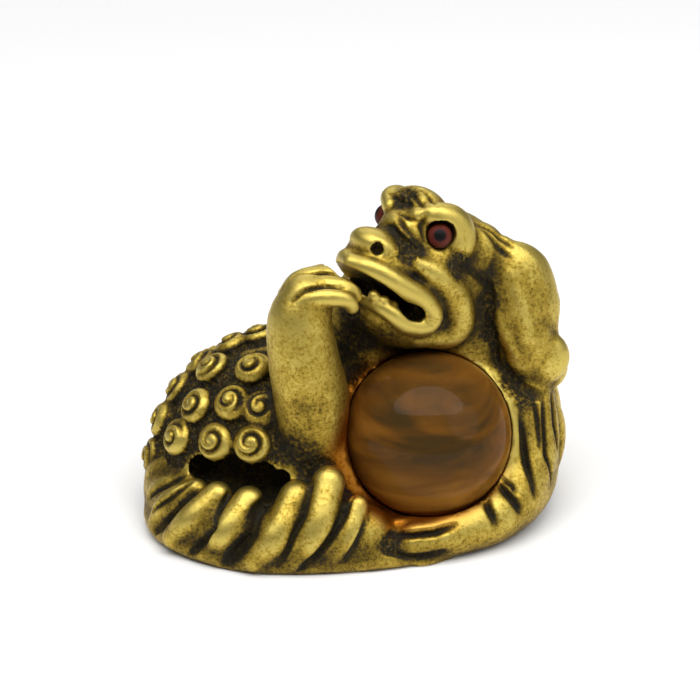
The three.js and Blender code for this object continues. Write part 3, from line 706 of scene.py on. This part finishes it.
mesh.materials.clear()
mesh.materials.append(brass)
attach(figure, "root")
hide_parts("figure")

# Ball: a polished sphere of clouded amber glass, resting in its round seat. Its colour also holds painted light,
# darker at its upper front and lighter towards its rim.
bpy.ops.object.select_all(action="DESELECT")
bpy.ops.mesh.primitive_uv_sphere_add(segments=128, ring_count=64, radius=ball_radius, location=ball_centre)
bpy.ops.object.transform_apply(location=True, rotation=True, scale=True)
bpy.ops.object.shade_smooth()
ball = bpy.context.object
ball.name = "amber_ball"
amber, glass = new_material("clouded_amber_with_painted_light")
place = add(amber, "ShaderNodeTexCoord").outputs["Object"]
stretched = add(amber, "ShaderNodeMapping", None, {
    "Vector": place, "Scale": (70, 70, 240), "Rotation": (0.3, -0.45, 0.2)}).outputs[0]
streak = add(amber, "ShaderNodeTexNoise", None, {
    "Vector": stretched, "Scale": 1.0, "Detail": 6.0, "Distortion": 1.5}).outputs["Fac"]
# Painted light: the glass is coloured darker round a point at its upper front and lighter towards its left and lower
# rim. This stands in for light passing through the amber; the streaks are its own clouding.
shaded = ball_centre + Vector((0.5, -6, 7)) * MM
from_shade = add(amber, "ShaderNodeVectorMath", {"operation": "DISTANCE"}, {0: place, 1: shaded}).outputs["Value"]
painted_light_through = add(amber, "ShaderNodeMapRange", None, {
    "Value": from_shade, "From Min": 4 * MM, "From Max": 14 * MM, "To Min": -0.18, "To Max": 0.2}).outputs[0]
cloud_and_painted_light = add(amber, "ShaderNodeMath", {"operation": "ADD"}, {0: streak, 1: painted_light_through}).outputs[0]
shade = add(amber, "ShaderNodeValToRGB", None, {"Fac": cloud_and_painted_light})
cloud_and_light_ramp = shade.color_ramp
cloud_and_light_ramp.elements[0].position, cloud_and_light_ramp.elements[0].color = 0.25, linear("#443218")
cloud_and_light_ramp.elements[1].position, cloud_and_light_ramp.elements[1].color = 0.85, linear("#9a6826")
cloud_and_light_ramp.elements.new(0.5).color = linear("#6e4719")
amber.node_tree.links.new(shade.outputs["Color"], glass.inputs["Base Color"])
glass.inputs["Specular IOR Level"].default_value = 0.015
glass.inputs["Roughness"].default_value = 0.05
glass.inputs["IOR"].default_value = 1.54
glass.inputs["Transmission Weight"].default_value = 0.1
ball.data.materials.append(amber)
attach(ball, "root")
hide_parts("ball")

# Eyes: small red-brown glass beads with a darker pupil, pressed into their sockets
eye_red, bead = new_material("red_brown_bead")
bead.inputs["Roughness"].default_value = 0.45
bead.inputs["Specular IOR Level"].default_value = 0.12
GAZE = {"eye_left": (0.754, 0.651, -0.08), "eye_right": (0.754, -0.651, -0.08)}
place = add(eye_red, "ShaderNodeTexCoord").outputs["Object"]
from_pupil = []
for node, centre in eye_centres.items():
    pupil = centre + HEAD @ Vector(GAZE[node]) * 1.5 * MM
    from_pupil.append(add(eye_red, "ShaderNodeVectorMath", {"operation": "DISTANCE"}, {
        0: place, 1: pupil}).outputs["Value"])
nearest = add(eye_red, "ShaderNodeMath", {"operation": "MINIMUM"}, {0: from_pupil[0], 1: from_pupil[1]}).outputs[0]
ringed = add(eye_red, "ShaderNodeMapRange", None, {"Value": nearest, "From Max": 1.8 * MM}).outputs[0]
iris = add(eye_red, "ShaderNodeValToRGB", None, {"Fac": ringed})
rings = iris.color_ramp
rings.interpolation = "LINEAR"
rings.elements[0].position, rings.elements[0].color = 0.36, linear("#0f0d0e")
rings.elements[1].position, rings.elements[1].color = 0.95, linear("#3c1812")
rings.elements.new(0.42).color = linear("#4c1f18")
rings.elements.new(0.7).color = linear("#62291f")
eye_red.node_tree.links.new(iris.outputs["Color"], bead.inputs["Base Color"])
for node, centre in eye_centres.items():
    low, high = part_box(node)
    bpy.ops.object.select_all(action="DESELECT")
    bpy.ops.mesh.primitive_uv_sphere_add(segments=48, ring_count=24, radius=(high.z - low.z) / 2, location=centre)
    bpy.ops.object.transform_apply(location=True, rotation=True, scale=True)
    bpy.ops.object.shade_smooth()
    eye = bpy.context.object
    eye.name = "bead_" + node
    eye.data.materials.append(eye_red)
    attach(eye, "root")
    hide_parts(node)

# Floor: a white paper sweep
bpy.ops.object.select_all(action="DESELECT")
bpy.ops.mesh.primitive_plane_add(size=4, location=(0, 0, -0.00002))
floor = bpy.context.object
floor.name = "floor"
paper, sheet = new_material("white_paper")
sheet.inputs["Base Color"].default_value = linear("#fafafa")
sheet.inputs["Roughness"].default_value = 0.9
floor.data.materials.append(paper)
floor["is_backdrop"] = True

# Light: one wide soft box nearly overhead in a dim pale room
world = bpy.data.worlds.new("studio")
bpy.context.scene.world = world
world.use_nodes = True
world.node_tree.nodes["Background"].inputs["Color"].default_value = (1, 1, 1, 1)
world.node_tree.nodes["Background"].inputs["Strength"].default_value = 0.16


def soft_box(name, azimuth, elevation, distance, size, radiance):
    azimuth, elevation = math.radians(azimuth), math.radians(elevation)
    out = Vector((
        math.cos(elevation) * math.sin(azimuth),
        -math.cos(elevation) * math.cos(azimuth),
        math.sin(elevation),
    ))
    bpy.ops.object.light_add(type="AREA", location=LOOKED_AT + out * distance)
    light = bpy.context.object
    light.name = name
    light.rotation_euler = out.to_track_quat("Z", "Y").to_euler()
    light.data.shape = "ELLIPSE"
    light.data.size, light.data.size_y = size
    light.data.energy = radiance * math.pi * size[0] * size[1]
    return light


soft_box("overhead_box", 0, 72, 0.5, (1, 0.4), 2.9)
soft_box("background_box", 180, 40, 1.2, (1.6, 0.6), 1.4)
soft_box("right_box", 60, 30, 0.6, (0.5, 0.5), 0.9)
bpy.context.scene.view_settings.view_transform = "Standard"

low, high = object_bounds()
